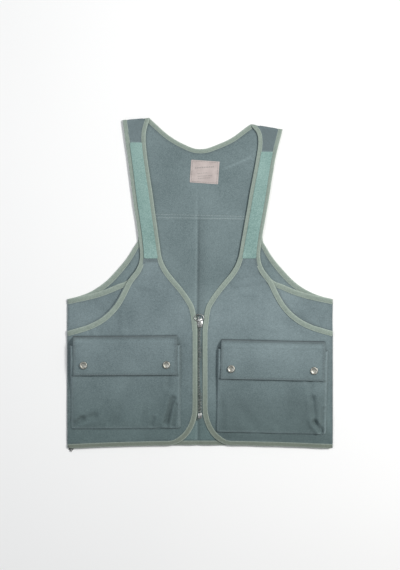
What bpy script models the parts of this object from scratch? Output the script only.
"""A fishing vest lying on its back with the zip closed.

Sizes are in millimetres and become metres where a shape is made. +Z is up and out of the front,
+Y runs to the shoulders and +X to the wearer's left. The origin is under the middle of the back,
on the surface that the vest lies on. Left and right are the wearer's.
"""

import math

import bmesh
import bpy
from mathutils import Vector
from mathutils.geometry import intersect_line_line_2d

MM = 0.001
SIDES = {"left": 1, "right": -1}

# The whole garment, laid flat.
CHEST = 516.0
LENGTH = 640.0
ARMHOLE_DEPTH = 351.0
HEM_RISE = 7.0
NECK_HALF = 98.5
NECK_DROP = 60.0
YOKE_DEPTH = 189.0
STRAP_LENGTH = 273.0
HAND_POCKET_DROP = 62.0
# Where the front's armhole turns up into the strap, from the middle and above the strap's foot.
ARMHOLE_TURN = (124.5, -23.0)
# How each shoulder lies: the neck corner's and the outer corner's drop below the top, the outer
# corner's distance from the middle, and how far the strap sways outwards at its upper end.
SHOULDER = {
    "right": {"neck_drop": 0.0, "outer_drop": 4.0, "outer_x": 149.5, "sway": 0.0},
    "left": {"neck_drop": 12.0, "outer_drop": 22.0, "outer_x": 159.5, "sway": 9.0},
}

# Cloth and tape.
CLOTH = 1.2
GAP = 0.3
BINDING_WIDTH = 9.0
BINDING_THICK = 2.4
TAPE_THICK = 1.2
SEAM = 1.5
FELL_WIDTH = 10.0
FELL_THICK = 0.8
STRIP_PILE = 1.8
STRIP_TOP_GAP = 43.0
STRIP_INSET = 0.6

# The front edges: half the slot that the zip shows in, and the rounded corner at the hem.
FRONT_SLOT = 5.0
CORNER_WIDTH = 55.0
CORNER_HEIGHT = 74.0
V_FOOT_DROP = 142.0

LABEL = (55.0, 44.0, 0.6)
LABEL_PLACE = (9.0, -104.0)
LABEL_TILT = -4.0

# Bellows pockets. Each one's frame is the middle of its flap's hinge line.
POCKET_X = 143.0
POCKET_WIDTH = 208.0
POCKET_FOOT_HEIGHT = 40.0
POCKET_BELLOWS = 7.7
FLAP_WIDTH = 200.0
FLAP_DROP = 62.0
FLAP_RISE = 13.0
FLAP_BELOW_HAND_POCKET = 10.0
POCKET_MOUTH = 4.0
FLAP_CLOTH = 1.4
POCKET_LAY = {
    "right": {"shift": (2.0, 0.0), "tilt": 0.3},
    "left": {"shift": (-2.0, -9.0), "tilt": -1.3},
}

# Snap fasteners.
SNAP_INSET = 20.0
SNAP_ABOVE_EDGE = 20.0
SNAP_SEGMENTS = 12
CAP_RADIUS = 7.5
SHANK_RADIUS = 1.8
SHANK_CLEARANCE = 0.3
STUD_FLANGE = (5.2, 0.7)
STUD_NECK = 2.0
STUD_BALL = 2.6
STUD_HEIGHT = 2.9
SOCKET_RADIUS = 5.8
SOCKET_BORE = 3.1
SOCKET_SKIRT = 2.2
SOCKET_PLATE = 0.6

# The zip.
TEETH_PITCH = 3.0
TOOTH_WIDTH = 1.1
TOOTH_REACH = 0.7
BEAD_INNER = 2.2
BEAD_OUTER = 3.6
CHAIN_THICK = 2.5
ZIP_TAPE = (0.6, 12.0)
ZIP_ABOVE_V_FOOT = 27.0
ZIP_BOX_TOP_HEIGHT = 68.0
ZIP_BOX_LENGTH = 10.0
ZIP_TAPE_OVER = 4.0
SLIDER_LENGTH = 17.0
SLIDER_PLATE = 0.9
SLIDER_SIDE_WALL = 0.7
WEDGE_LENGTH = 7.0
WEDGE_HALF = 1.6
BRIDGE_WIDTH = 3.0
BRIDGE_BAR = 1.1
RING_WIRE = 1.6
RING_HALF = (9.0, 6.5)
RING_OFF_CENTRE = -1.5
RING_PLAY = 0.9

STEP = 11.0
CURVE_STEP = 8.0

# Heights of the layers above the surface, from the back up.
HEM_Y = -LENGTH / 2
TOP_Y = LENGTH / 2
HALF = CHEST / 2
CLOTH_SIDE = HALF - SEAM
FACING_Z = 4.6
SHELL_Z = FACING_Z + CLOTH + GAP
SHELL_TOP = SHELL_Z + CLOTH
EDGE_TOP = SHELL_TOP + CLOTH / 2
ON_SHELL = SHELL_TOP + GAP
POCKET_FRONT_Z = ON_SHELL + POCKET_BELLOWS + GAP
POCKET_TOP = POCKET_FRONT_Z + CLOTH
STUD_Z = POCKET_TOP + GAP
SOCKET_Z = STUD_Z + STUD_FLANGE[1] + GAP
SOCKET_TOP = SOCKET_Z + SOCKET_SKIRT + SOCKET_PLATE
FLAP_Z = SOCKET_TOP + GAP
FLAP_TOP = FLAP_Z + FLAP_CLOTH
CHAIN_Z = FACING_Z - 0.6
INSET = BINDING_WIDTH + GAP
SEAM_CLEAR = SEAM + GAP
YOKE_Y = TOP_Y - YOKE_DEPTH
STRAP_FOOT_Y = TOP_Y - STRAP_LENGTH
V_FOOT_Y = STRAP_FOOT_Y - V_FOOT_DROP
UNDERARM_Y = TOP_Y - ARMHOLE_DEPTH
HAND_POCKET_Y = UNDERARM_Y - HAND_POCKET_DROP
BOX_TOP_Y = HEM_Y + ZIP_BOX_TOP_HEIGHT
SLIDER_TOP_Y = V_FOOT_Y + ZIP_ABOVE_V_FOOT
FLAP_HINGE_Y = HAND_POCKET_Y - FLAP_RISE - FLAP_BELOW_HAND_POCKET
POCKET_DEPTH = FLAP_HINGE_Y - POCKET_MOUTH - HEM_Y - POCKET_FOOT_HEIGHT

COLOURS = {
    "canvas": ((0.15, 0.21, 0.23), 0.9, 0.0),
    "binding": ((0.25, 0.33, 0.28), 0.85, 0.0),
    "pile": ((0.26, 0.43, 0.40), 0.95, 0.0),
    "label": ((0.60, 0.50, 0.49), 0.8, 0.0),
    "nickel": ((0.62, 0.60, 0.56), 0.3, 1.0),
}


# ---- paths -------------------------------------------------------------------------------


def smooth(knots, step=CURVE_STEP):
    """Points about a step apart on a smooth curve through the knots."""
    ends = [2 * Vector(knots[0]) - Vector(knots[1]), 2 * Vector(knots[-1]) - Vector(knots[-2])]
    held = [ends[0], *map(Vector, knots), ends[1]]
    points = []
    for before, start, end, after in zip(held, held[1:], held[2:], held[3:]):
        count = max(1, round((end - start).length / step))
        for i in range(count):
            t = i / count
            points.append(
                0.5
                * (
                    2 * start
                    + (end - before) * t
                    + (2 * before - 5 * start + 4 * end - after) * t * t
                    + (3 * start - before - 3 * end + after) * t**3
                )
            )
    return [tuple(p) for p in points] + [tuple(knots[-1])]


def inset(path, distance):
    """The path moved to the left of its direction, and kept inside the side seam."""
    moved = []
    for i, point in enumerate(path):
        before = Vector(path[max(i - 1, 0)])
        after = Vector(path[min(i + 1, len(path) - 1)])
        along = (after - before).normalized()
        x, y = Vector(point) + Vector((-along.y, along.x)) * distance
        moved.append((min(x, CLOTH_SIDE - GAP), y))
    return moved


def cut(path, room):
    """The part of a path where room(point) isn't negative, with a point at each crossing."""
    kept = []
    for start, end in zip(path, path[1:]):
        here, there = room(start), room(end)
        if here >= 0:
            kept.append(start)
        if here * there < 0:
            kept.append(tuple(Vector(start).lerp(Vector(end), here / (here - there))))
    if room(path[-1]) >= 0:
        kept.append(path[-1])
    return kept


def cut_at(path, y, keep_above):
    return cut(path, lambda point: point[1] - y if keep_above else y - point[1])


def joined_where_they_cross(first, second):
    """The first path up to where it crosses the second, and then the rest of the second."""
    for i, (a, b) in enumerate(zip(first, first[1:])):
        for j, (c, d) in enumerate(zip(second, second[1:])):
            point = intersect_line_line_2d(a, b, c, d)
            if point:
                return [*first[: i + 1], tuple(point), *second[j + 1 :]]
    return [*first, *second]


def mirrored(points, side):
    return [(x * SIDES[side], y) for x, y in points]


def strip_outline(path, width):
    return [*path, *reversed(inset(path, width))]


# ---- the garment's edges, for a side of positive X ----------------------------------------


def hem_y(x):
    return HEM_Y + HEM_RISE * (1 - (x / HALF) ** 2)


def shoulder_line(side):
    lie = SHOULDER[side]
    return (NECK_HALF, TOP_Y - lie["neck_drop"]), (lie["outer_x"], TOP_Y - lie["outer_drop"])


def under_shoulder(path, side):
    """The part of a path below the shoulder seam, with clearance."""
    (x0, y0), (x1, y1) = shoulder_line(side)
    slope = (y1 - y0) / (x1 - x0)
    clear = SEAM_CLEAR * math.hypot(1, slope)
    return cut(path, lambda point: y0 + slope * (point[0] - x0) - clear - point[1])


def outline_under_shoulder(outline, side):
    kept = under_shoulder([*outline, outline[0]], side)
    return kept[:-1] if kept[0] == kept[-1] else kept


def swayed(side, points):
    """Knots on the strap, shifted with the shoulder's sway. Heights are parts of its length."""
    span = TOP_Y - STRAP_FOOT_Y
    return [(x + SHOULDER[side]["sway"] * h, STRAP_FOOT_Y + h * span) for x, h in points]


def front_edge(side):
    """From the neck corner down the V, the zip edge and the rounded corner, then along the hem."""
    neck, _ = shoulder_line(side)
    strap = swayed(side, [(106, 0.835), (92, 0.447), (80, 0.132), (74, 0)])
    v_knots = [(62, 0.17), (34, 0.41), (19, 0.563), (10.5, 0.697)]
    corner_top = HEM_Y + HEM_RISE + CORNER_HEIGHT
    knots = [neck, *strap]
    knots += [(x, STRAP_FOOT_Y - h * V_FOOT_DROP) for x, h in v_knots]
    knots.append((FRONT_SLOT, V_FOOT_Y))
    corner = []
    for i in range(1, 9):
        turn = math.pi / 2 * i / 8
        x = FRONT_SLOT + CORNER_WIDTH * (1 - math.cos(turn))
        corner.append((x, corner_top - (corner_top - hem_y(x)) * math.sin(turn)))
    count = 8
    start = corner[-1][0]
    hem = [start + (CLOTH_SIDE - GAP - start) * i / count for i in range(1, count + 1)]
    return smooth(knots) + [(FRONT_SLOT, corner_top), *corner] + [(x, hem_y(x)) for x in hem]


def rising(start, end, knots):
    """Knots in from the side seam, whose heights are parts of the way from start to end."""
    held = [(x, start + h * (end - start)) for x, h in knots]
    return [(CLOTH_SIDE - GAP, start), *held]


def armhole_turn():
    x, height = ARMHOLE_TURN
    return (x, STRAP_FOOT_Y + height)


def strap_outer(side):
    """The strap's outer edge, from its foot up to the shoulder."""
    _, outer = shoulder_line(side)
    return [*swayed(side, [(119, 0.165), (129, 0.421), (139, 0.707)]), outer]


def armhole_edge(side):
    """The front's armhole, from the side seam up to the shoulder."""
    low = [(210, 0.18), (182, 0.345), (160, 0.51), (141, 0.655)]
    knots = rising(UNDERARM_Y, armhole_turn()[1], low)
    knots += [armhole_turn(), (116, STRAP_FOOT_Y + 2)]
    return smooth(knots + strap_outer(side))


def back_armhole_edge(side):
    """The back's armhole, which lies outside the front's below the strap."""
    low = [(232, 0.049), (205, 0.146), (180, 0.292), (160, 0.462), (141, 0.649), (128, 0.819)]
    knots = strap_outer(side)
    return smooth(rising(UNDERARM_Y, knots[0][1], low) + knots)


def hand_pocket_edge():
    """The curved mouth of the hand pocket, from the side seam up to the armhole."""
    low = [(222, 0.085), (196, 0.188), (178, 0.308), (162, 0.47), (149, 0.667), (140, 0.829)]
    return smooth([*rising(HAND_POCKET_Y, armhole_turn()[1], low), armhole_turn()])


def neck_edge():
    """The back of the neck, from the left shoulder to the right."""
    low = TOP_Y - NECK_DROP
    (left_x, left_y), _ = shoulder_line("left")
    (right_x, right_y), _ = shoulder_line("right")
    shape = [(0.61, 0.43), (0.21, 0.07)]
    left = [(left_x * x, low + (left_y - low) * y) for x, y in shape]
    right = [(-right_x * x, low + (right_y - low) * y) for x, y in reversed(shape)]
    return smooth([(left_x, left_y), *left, (0, low), *right, (-right_x, right_y)])


# ---- makers ------------------------------------------------------------------------------

for old in list(bpy.data.objects):
    bpy.data.objects.remove(old)
VEST = bpy.data.collections.new("fishing_vest")
bpy.context.scene.collection.children.link(VEST)
CUTTERS = bpy.data.collections.new("cutters")
CUTTERS.hide_render = True
bpy.context.scene.collection.children.link(CUTTERS)


def material(name):
    """The named material, made when it is first asked for."""
    found = bpy.data.materials.get(name)
    if found:
        return found
    colour, roughness, metallic = COLOURS[name]
    made = bpy.data.materials.new(name)
    made.use_nodes = True
    shader = made.node_tree.nodes["Principled BSDF"]
    shader.inputs["Base Color"].default_value = (*colour, 1)
    shader.inputs["Roughness"].default_value = roughness
    shader.inputs["Metallic"].default_value = metallic
    return made


def pivot(name, place, parent=None, turn=0.0):
    """An empty on a joint's axis. Its place is measured from its parent's, in millimetres."""
    empty = bpy.data.objects.new(name, None)
    VEST.objects.link(empty)
    empty.parent = parent
    empty.location = Vector(place) * MM
    empty.rotation_euler.z = math.radians(turn)
    return empty


def add(name, data, finish, body, place, about=(0, 0, 0)):
    """Links an object to its body. Its place is a point of the vest, and about is the body's."""
    obj = bpy.data.objects.new(name, data)
    VEST.objects.link(obj)
    obj.parent = body
    obj.location = (Vector(place) - Vector(about)) * MM
    data.materials.append(material(finish))
    return obj


def outline_curve(name, loops, thickness):
    """A flat outline with its holes as a 2D curve, filled and extruded about its plane."""
    curve = bpy.data.curves.new(name, "CURVE")
    curve.dimensions = "2D"
    curve.fill_mode = "BOTH"
    curve.extrude = thickness / 2 * MM
    for loop in loops:
        spline = curve.splines.new("POLY")
        spline.points.add(len(loop) - 1)
        for point, (x, y) in zip(spline.points, loop):
            point.co = (x * MM, y * MM, 0, 1)
        spline.use_cyclic_u = True
    return curve


def sheet(name, outline, low, high, finish, body=None, about=(0, 0, 0), holes=()):
    """A flat layer between two heights."""
    curve = outline_curve(name, [outline, *holes], high - low)
    return add(name, curve, finish, body, (0, 0, (low + high) / 2), about)


def circle(x, y, radius, segments=SNAP_SEGMENTS):
    turns = [2 * math.pi * i / segments for i in range(segments)]
    return [(x + radius * math.cos(t), y + radius * math.sin(t)) for t in turns]


def turned(name, profile, place, body, finish="nickel"):
    """A turned piece. Its profile is (radius, height) from the top down its outer side."""
    mesh = bpy.data.meshes.new(name)
    rows = [(r * MM, 0, h * MM) for r, h in profile]
    mesh.from_pydata(rows, [(i, i + 1) for i in range(len(rows) - 1)], [])
    obj = add(name, mesh, finish, body, place)
    screw = obj.modifiers.new("turn", "SCREW")
    screw.steps = screw.render_steps = SNAP_SEGMENTS
    screw.use_merge_vertices = True
    screw.merge_threshold = 0.00001
    return obj


def block(name, low, high):
    """A box mesh between two corners, in millimetres."""
    mesh = bpy.data.meshes.new(name)
    shape = bmesh.new()
    bmesh.ops.create_cube(shape, size=1)
    size = Vector(high) - Vector(low)
    bmesh.ops.scale(shape, vec=size * MM, verts=shape.verts)
    bmesh.ops.translate(shape, vec=(Vector(low) + size / 2) * MM, verts=shape.verts)
    shape.to_mesh(mesh)
    shape.free()
    return mesh


def union(obj, meshes, copies=1, pitch=0.0):
    """Joins more meshes to an object, each one in the object's own space. Copies run down -Y."""
    for i, mesh in enumerate(meshes):
        tool = bpy.data.objects.new(f"{obj.name}_join_{i}", mesh)
        CUTTERS.objects.link(tool)
        tool.hide_render = True
        tool.display_type = "WIRE"
        tool.parent = obj
        if copies > 1:
            row = tool.modifiers.new("row", "ARRAY")
            row.count = copies
            row.use_relative_offset = False
            row.use_constant_offset = True
            row.constant_offset_displace = (0, -pitch * MM, 0)
        join = obj.modifiers.new(f"join_{i}", "BOOLEAN")
        join.operation = "UNION"
        join.object = tool


# ---- the back ----------------------------------------------------------------------------


def make_back(body):
    back = {side: back_armhole_edge(side) for side in SIDES}
    cloth = {side: under_shoulder(inset(back[side], INSET), side) for side in SIDES}
    hem_points = [CLOTH_SIDE - GAP - STEP * 2 * i for i in range(int(CLOTH_SIDE / STEP))]
    hem_half = [(x, hem_y(x)) for x in hem_points if x > 0]
    hem = [(-x, y) for x, y in hem_half] + [(0, hem_y(0))] + list(reversed(hem_half))
    joint = GAP / 2

    lower = {side: mirrored(cut_at(cloth[side], YOKE_Y - joint, False), side) for side in SIDES}
    hem_inner = [(max(x, -CLOTH_SIDE + GAP), y) for x, y in inset(hem, INSET)]
    panel = [*hem_inner, *lower["left"], *reversed(lower["right"])]
    sheet("back_panel", panel, 0, CLOTH, "canvas", body)

    upper = {side: mirrored(cut_at(cloth[side], YOKE_Y + joint, True), side) for side in SIDES}
    neck = inset(neck_edge(), INSET)
    neck = [p for p in neck if p[1] < min(TOP_Y - SHOULDER[s]["neck_drop"] for s in SIDES) - 2 * SEAM]
    corners = [under_neck_corner("left"), under_neck_corner("right")]
    yoke = [*upper["left"], corners[0], *neck, corners[1], *reversed(upper["right"])]
    sheet("back_yoke", yoke, 0, CLOTH, "canvas", body)

    half = cut_at(cloth["right"], YOKE_Y, True)[0][0] - 2
    fell = [(-half, -1), (half, -1), (half, 1), (-half, 1)]
    fell = [(x, YOKE_Y + y * FELL_WIDTH / 2) for x, y in fell]
    sheet("back_seam_fell", fell, CLOTH + GAP, CLOTH + GAP + FELL_THICK, "canvas", body)

    neck_strip = outline_under_shoulder(strip_outline(neck_edge(), BINDING_WIDTH), "left")
    neck_strip = outline_under_shoulder([(-x, y) for x, y in neck_strip], "right")
    neck_strip = [(-x, y) for x, y in neck_strip]
    sheet("neck_binding", neck_strip, 0, BINDING_THICK, "binding", body)
    hem_strip = [*hem, *reversed([(max(x, -CLOTH_SIDE + GAP), y) for x, y in inset(hem, BINDING_WIDTH)])]
    sheet("back_hem_binding", hem_strip, 0, BINDING_THICK, "binding", body)

    for side in SIDES:
        strip = outline_under_shoulder(strip_outline(back[side], BINDING_WIDTH), side)
        name = f"back_armhole_binding_{side}"
        sheet(name, mirrored(strip, side), 0, BINDING_THICK, "binding", body)
        seam = [(CLOTH_SIDE, hem_y(HALF)), (HALF, hem_y(HALF)), (HALF, UNDERARM_Y), (CLOTH_SIDE, UNDERARM_Y)]
        sheet(f"side_seam_{side}", mirrored(seam, side), 0, SHELL_TOP, "canvas", body)
        ends = shoulder_line(side)
        drop = [(x, y - SEAM) for x, y in reversed(ends)]
        sheet(f"shoulder_seam_{side}", mirrored([*ends, *drop], side), 0, SHELL_TOP, "canvas", body)

    width, height, thick = LABEL
    corner = [(-1, -1), (1, -1), (1, 1), (-1, 1)]
    patch = [(x * width / 2, y * height / 2) for x, y in corner]
    low = CLOTH + GAP
    label = sheet("label", patch, low, low + thick, "label", body)
    label.location.xy = (LABEL_PLACE[0] * MM, (TOP_Y + LABEL_PLACE[1]) * MM)
    label.rotation_euler.z = math.radians(LABEL_TILT)


def under_neck_corner(side):
    """The yoke's corner between the neck binding and the shoulder seam."""
    (x, y), (x1, y1) = shoulder_line(side)
    out = INSET + 2
    return ((x + out) * SIDES[side], y + (y1 - y) * out / (x1 - x) - SEAM_CLEAR - 1)


# ---- a front -----------------------------------------------------------------------------


def make_front(side, body, about):
    front = front_edge(side)
    armhole = armhole_edge(side)
    mouth = hand_pocket_edge()
    front_cloth = under_shoulder(inset(front, INSET), side)
    arm_cloth = under_shoulder(inset(armhole, INSET), side)
    joint = GAP / 2

    def lay(name, outline, low, high, finish):
        return sheet(f"{name}_{side}", mirrored(outline, side), low, high, finish, body, about)

    front_low = cut_at(front_cloth, STRAP_FOOT_Y - joint, False)
    arm_low = cut_at(arm_cloth, STRAP_FOOT_Y - joint, False)
    lay("front_facing", [*front_low, *arm_low], FACING_Z, FACING_Z + CLOTH, "canvas")

    shell = [*front_low, *joined_where_they_cross(mouth, arm_low)]
    lay("front_shell", shell, SHELL_Z, SHELL_TOP, "canvas")

    front_high = cut_at(front_cloth, STRAP_FOOT_Y + joint, True)
    arm_high = cut_at(arm_cloth, STRAP_FOOT_Y + joint, True)
    lay("strap", [*front_high, *arm_high], FACING_Z, SHELL_TOP, "canvas")

    strip_top = shoulder_line(side)[1][1] - STRIP_TOP_GAP
    strip_front = cut_at(cut_at(inset(front, INSET + STRIP_INSET), STRAP_FOOT_Y + 1, True), strip_top, False)
    strip_arm = cut_at(cut_at(inset(armhole, INSET + STRIP_INSET), STRAP_FOOT_Y + 1, True), strip_top, False)
    lay("strap_strip", [*strip_front, *strip_arm], ON_SHELL, ON_SHELL + STRIP_PILE, "pile")

    front_strip = outline_under_shoulder(strip_outline(front, BINDING_WIDTH), side)
    lay("front_edge_binding", front_strip, FACING_Z, EDGE_TOP, "binding")
    arm_strip = outline_under_shoulder(strip_outline(armhole, BINDING_WIDTH), side)
    lay("armhole_binding", arm_strip, FACING_Z, FACING_Z + BINDING_THICK, "binding")
    mouth_strip = strip_outline(mouth, BINDING_WIDTH)
    lay("hand_pocket_binding", mouth_strip, ON_SHELL, ON_SHELL + TAPE_THICK, "binding")


def make_pocket(side, front, flap, frame_z):
    """A bellows pocket in its own frame: X along the hinge line, Y up the vest from it."""
    half = POCKET_WIDTH / 2
    bottom = -POCKET_MOUTH - POCKET_DEPTH
    mouth = -POCKET_MOUTH
    snaps = [FLAP_WIDTH / 2 - SNAP_INSET, SNAP_INSET - FLAP_WIDTH / 2]
    snap_y = -FLAP_DROP + SNAP_ABOVE_EDGE
    hole = SHANK_RADIUS + SHANK_CLEARANCE
    holes = [circle(x, snap_y, hole) for x in snaps]
    about = (0, 0, frame_z)

    wall = half - CLOTH
    gusset = [
        (-half, mouth), (-half, bottom), (half, bottom), (half, mouth),
        (wall, mouth), (wall, bottom + CLOTH), (-wall, bottom + CLOTH), (-wall, mouth),
    ]
    sheet(f"pocket_gusset_{side}", gusset, ON_SHELL, POCKET_FRONT_Z - GAP, "canvas", front, about)
    face = [(-half, bottom), (half, bottom), (half, mouth), (-half, mouth)]
    sheet(f"pocket_front_{side}", face, POCKET_FRONT_Z, POCKET_TOP, "canvas", front, about, holes)

    edge = FLAP_WIDTH / 2
    cover = [(-edge, -FLAP_DROP), (edge, -FLAP_DROP), (edge, -GAP), (-edge, -GAP)]
    sheet(f"pocket_flap_{side}", cover, FLAP_Z, FLAP_TOP, "canvas", flap, about, holes)

    rise = [
        (FLAP_RISE, ON_SHELL), (FLAP_RISE - 1.8, ON_SHELL),
        (GAP, FLAP_Z), (GAP, FLAP_TOP), (GAP + FLAP_CLOTH, FLAP_TOP),
    ]
    profile = [(y, z - frame_z) for y, z in rise]
    stand = add(f"flap_stand_{side}", outline_curve("flap_stand", [profile], FLAP_WIDTH), "canvas", front, (0, 0, 0))
    stand.rotation_euler = (math.pi / 2, 0, math.pi / 2)

    for number, x in enumerate(snaps, 1):
        make_snap(f"{side}_{number}", (x, snap_y), front, flap, frame_z)


def make_snap(name, place, front, flap, frame_z):
    """A snap's four pieces: cap and socket through the flap, stud and post through the pocket."""
    rim = CAP_RADIUS
    cap = [
        (0, 2.1), (0.55 * rim, 1.9), (0.85 * rim, 1.3), (rim, 0.4), (0.97 * rim, 0),
        (SHANK_RADIUS, 0), (SHANK_RADIUS, SOCKET_TOP + GAP - FLAP_TOP - GAP), (0, SOCKET_TOP - FLAP_TOP),
    ]
    turned(f"snap_cap_{name}", cap, (*place, FLAP_TOP + GAP - frame_z), flap)
    top = SOCKET_SKIRT + SOCKET_PLATE
    socket = [
        (0, top), (SOCKET_RADIUS, top), (SOCKET_RADIUS, 0),
        (SOCKET_BORE, 0), (SOCKET_BORE, SOCKET_SKIRT), (0, SOCKET_SKIRT),
    ]
    turned(f"snap_socket_{name}", socket, (*place, SOCKET_Z - frame_z), flap)
    flange, thick = STUD_FLANGE
    stud = [
        (0, STUD_HEIGHT), (0.7 * STUD_BALL, STUD_HEIGHT), (STUD_BALL, STUD_HEIGHT - 0.7),
        (STUD_NECK, thick + 0.4), (STUD_NECK, thick), (flange, thick), (flange, 0), (0, 0),
    ]
    turned(f"snap_stud_{name}", stud, (*place, STUD_Z - frame_z), front)
    post_top = POCKET_TOP - POCKET_FRONT_Z + GAP
    post = [(0, post_top), (SHANK_RADIUS, post_top), (SHANK_RADIUS, 0), (flange, 0), (flange, -thick), (0, -thick)]
    turned(f"snap_post_{name}", post, (*place, POCKET_FRONT_Z - GAP - frame_z), front)


# ---- the zip -----------------------------------------------------------------------------


def make_zip_half(side, body, about):
    thick, width = ZIP_TAPE
    inner = BEAD_OUTER + GAP
    tape_top = SLIDER_TOP_Y + 2 * ZIP_TAPE_OVER
    tape_foot = BOX_TOP_Y - ZIP_BOX_LENGTH - ZIP_TAPE_OVER
    tape = [(inner, tape_foot), (inner + width, tape_foot), (inner + width, tape_top), (inner, tape_top)]
    half = thick / 2

    def lay(name, outline, low, high, finish):
        sheet(f"{name}_{side}", mirrored(outline, side), low, high, finish, body, about)

    lay("zip_tape", tape, CHAIN_Z - half, CHAIN_Z + half, "canvas")
    make_zip_chain(side, body, about)
    stop_low = SLIDER_TOP_Y + 2 * GAP
    stop = [(BEAD_INNER, stop_low), (BEAD_OUTER, stop_low), (BEAD_OUTER, stop_low + 3), (BEAD_INNER, stop_low + 3)]
    lay("zip_top_stop", stop, CHAIN_Z - 1, CHAIN_Z + 1, "nickel")


def make_zip_chain(side, body, about):
    """A bead with a row of teeth. The right row sits half a pitch below the left one."""
    sign = SIDES[side]
    top = SLIDER_TOP_Y - WEDGE_LENGTH - 2 * GAP
    length = top - BOX_TOP_Y - GAP
    half = CHAIN_THICK / 2

    def bar(name, inner, outer, foot, head, thick):
        left, right = sorted((sign * inner, sign * outer))
        return block(name, (left, foot, -thick), (right, head, thick))

    bead = bar("bead", BEAD_INNER, BEAD_OUTER, -length, 0, half)
    chain = add(f"zip_chain_{side}", bead, "nickel", body, (0, top, CHAIN_Z), about)
    first = -TEETH_PITCH * (0.25 if side == "left" else 0.75)
    middle = (BEAD_INNER + BEAD_OUTER) / 2
    head, foot = first + TOOTH_WIDTH / 2, first - TOOTH_WIDTH / 2
    tooth = bar("tooth", -TOOTH_REACH, middle, foot, head, half - GAP / 2)
    union(chain, [tooth], int((length + foot) / TEETH_PITCH) + 1, TEETH_PITCH)


def make_zip_ends(bodies, about):
    """The box on the right half and the pin on the left, side by side at the foot of the chain."""
    low, high = BOX_TOP_Y - ZIP_BOX_LENGTH, BOX_TOP_Y
    for name, side, inner in (("zip_box", "right", -BEAD_INNER / 2), ("zip_pin", "left", BEAD_INNER / 2 + GAP)):
        outline = [(inner, low), (BEAD_OUTER, low), (BEAD_OUTER, high), (inner, high)]
        thick = CHAIN_THICK / 2 + (0.4 if side == "right" else 0)
        sheet(name, mirrored(outline, side), CHAIN_Z - thick, CHAIN_Z + thick, "nickel", bodies[side], about[side])


def make_slider(body, about):
    """Two plates with turned-in lips, joined by the wedge at the top end, with a bridge on top."""
    reach = BEAD_OUTER + GAP + SLIDER_SIDE_WALL
    inner = BEAD_OUTER + GAP
    top, foot = SLIDER_TOP_Y, SLIDER_TOP_Y - SLIDER_LENGTH
    low, high = CHAIN_Z - CHAIN_THICK / 2 - 0.25, CHAIN_Z + CHAIN_THICK / 2 + 0.25
    slot = 0.6

    def bar(name, a, b):
        return block(name, Vector(a) - Vector(about), Vector(b) - Vector(about))

    plate = bar("slider_top", (-reach, foot, high), (reach, top, high + SLIDER_PLATE))
    slider = add("zip_slider", plate, "nickel", body, about, about)
    pieces = [bar("slider_bottom", (-reach, foot, low - SLIDER_PLATE), (reach, top, low))]
    for sign in (-1, 1):
        left, right = sorted((sign * inner, sign * reach))
        pieces.append(bar("lip", (left, foot, CHAIN_Z + slot), (right, top, high + SLIDER_PLATE / 2)))
        pieces.append(bar("lip", (left, foot, low - SLIDER_PLATE / 2), (right, top, CHAIN_Z - slot)))
    wedge_low, wedge_high = low - SLIDER_PLATE / 2, high + SLIDER_PLATE / 2
    pieces.append(bar("wedge", (-WEDGE_HALF, top - WEDGE_LENGTH, wedge_low), (WEDGE_HALF, top - 0.4, wedge_high)))
    half = BRIDGE_WIDTH / 2
    base, arch = high + SLIDER_PLATE / 2, ring_z() + RING_WIRE / 2 + RING_PLAY
    bridge_top = (top - 1, top - 1 - BRIDGE_BAR)
    bridge_foot = (foot + 4, foot + 4 + BRIDGE_BAR)
    pieces.append(bar("post", (-half, bridge_top[1], base), (half, bridge_top[0], arch + BRIDGE_BAR)))
    pieces.append(bar("post", (-half, bridge_foot[0], base), (half, bridge_foot[1], arch + BRIDGE_BAR)))
    pieces.append(bar("arch", (-half, bridge_foot[0], arch), (half, bridge_top[0], arch + BRIDGE_BAR)))
    union(slider, pieces)


def ring_z():
    """The pull ring's height: it lies over the front edge's binding."""
    return EDGE_TOP + GAP + RING_WIRE / 2


def ring_axis_y():
    """Where the ring passes under the bridge, just below its upper post."""
    return SLIDER_TOP_Y - 1 - BRIDGE_BAR - 2 * RING_WIRE


def make_pull_ring(body, about):
    across, along = RING_HALF
    centre = (RING_OFF_CENTRE, ring_axis_y() + along, ring_z())
    curve = bpy.data.curves.new("zip_pull_ring", "CURVE")
    curve.dimensions = "3D"
    curve.bevel_depth = RING_WIRE / 2 * MM
    curve.bevel_resolution = 2
    spline = curve.splines.new("POLY")
    count = 24
    spline.points.add(count - 1)
    for i, point in enumerate(spline.points):
        turn = 2 * math.pi * i / count
        point.co = (across * math.cos(turn) * MM, along * math.sin(turn) * MM, 0, 1)
    spline.use_cyclic_u = True
    add("zip_pull_ring", curve, "nickel", body, centre, about)


# ---- assembly ----------------------------------------------------------------------------


def main():
    make_back(None)
    fronts, hinges = {}, {}
    for side, sign in SIDES.items():
        hinge = (sign * CLOTH_SIDE, 0, ON_SHELL)
        fronts[side] = pivot(f"hinge_front_{side}", hinge)
        hinges[side] = hinge
        make_front(side, fronts[side], hinge)
        shift = POCKET_LAY[side]["shift"]
        place = Vector((sign * (POCKET_X + shift[0]), FLAP_HINGE_Y + shift[1], FLAP_TOP))
        tilt = POCKET_LAY[side]["tilt"]
        pocket = pivot(f"pocket_{side}", place - Vector(hinge), fronts[side], tilt)
        flap = pivot(f"hinge_flap_{side}", (0, 0, 0), pocket)
        make_pocket(side, pocket, flap, FLAP_TOP)
        make_zip_half(side, fronts[side], hinge)
    make_zip_ends(fronts, hinges)
    slide_at = (0, SLIDER_TOP_Y, CHAIN_Z)
    slider = pivot("slide_zip", Vector(slide_at) - Vector(hinges["right"]), fronts["right"])
    make_slider(slider, slide_at)
    ring_at = (0, ring_axis_y(), ring_z())
    pull = pivot("hinge_pull", Vector(ring_at) - Vector(slide_at), slider)
    make_pull_ring(pull, ring_at)


main()
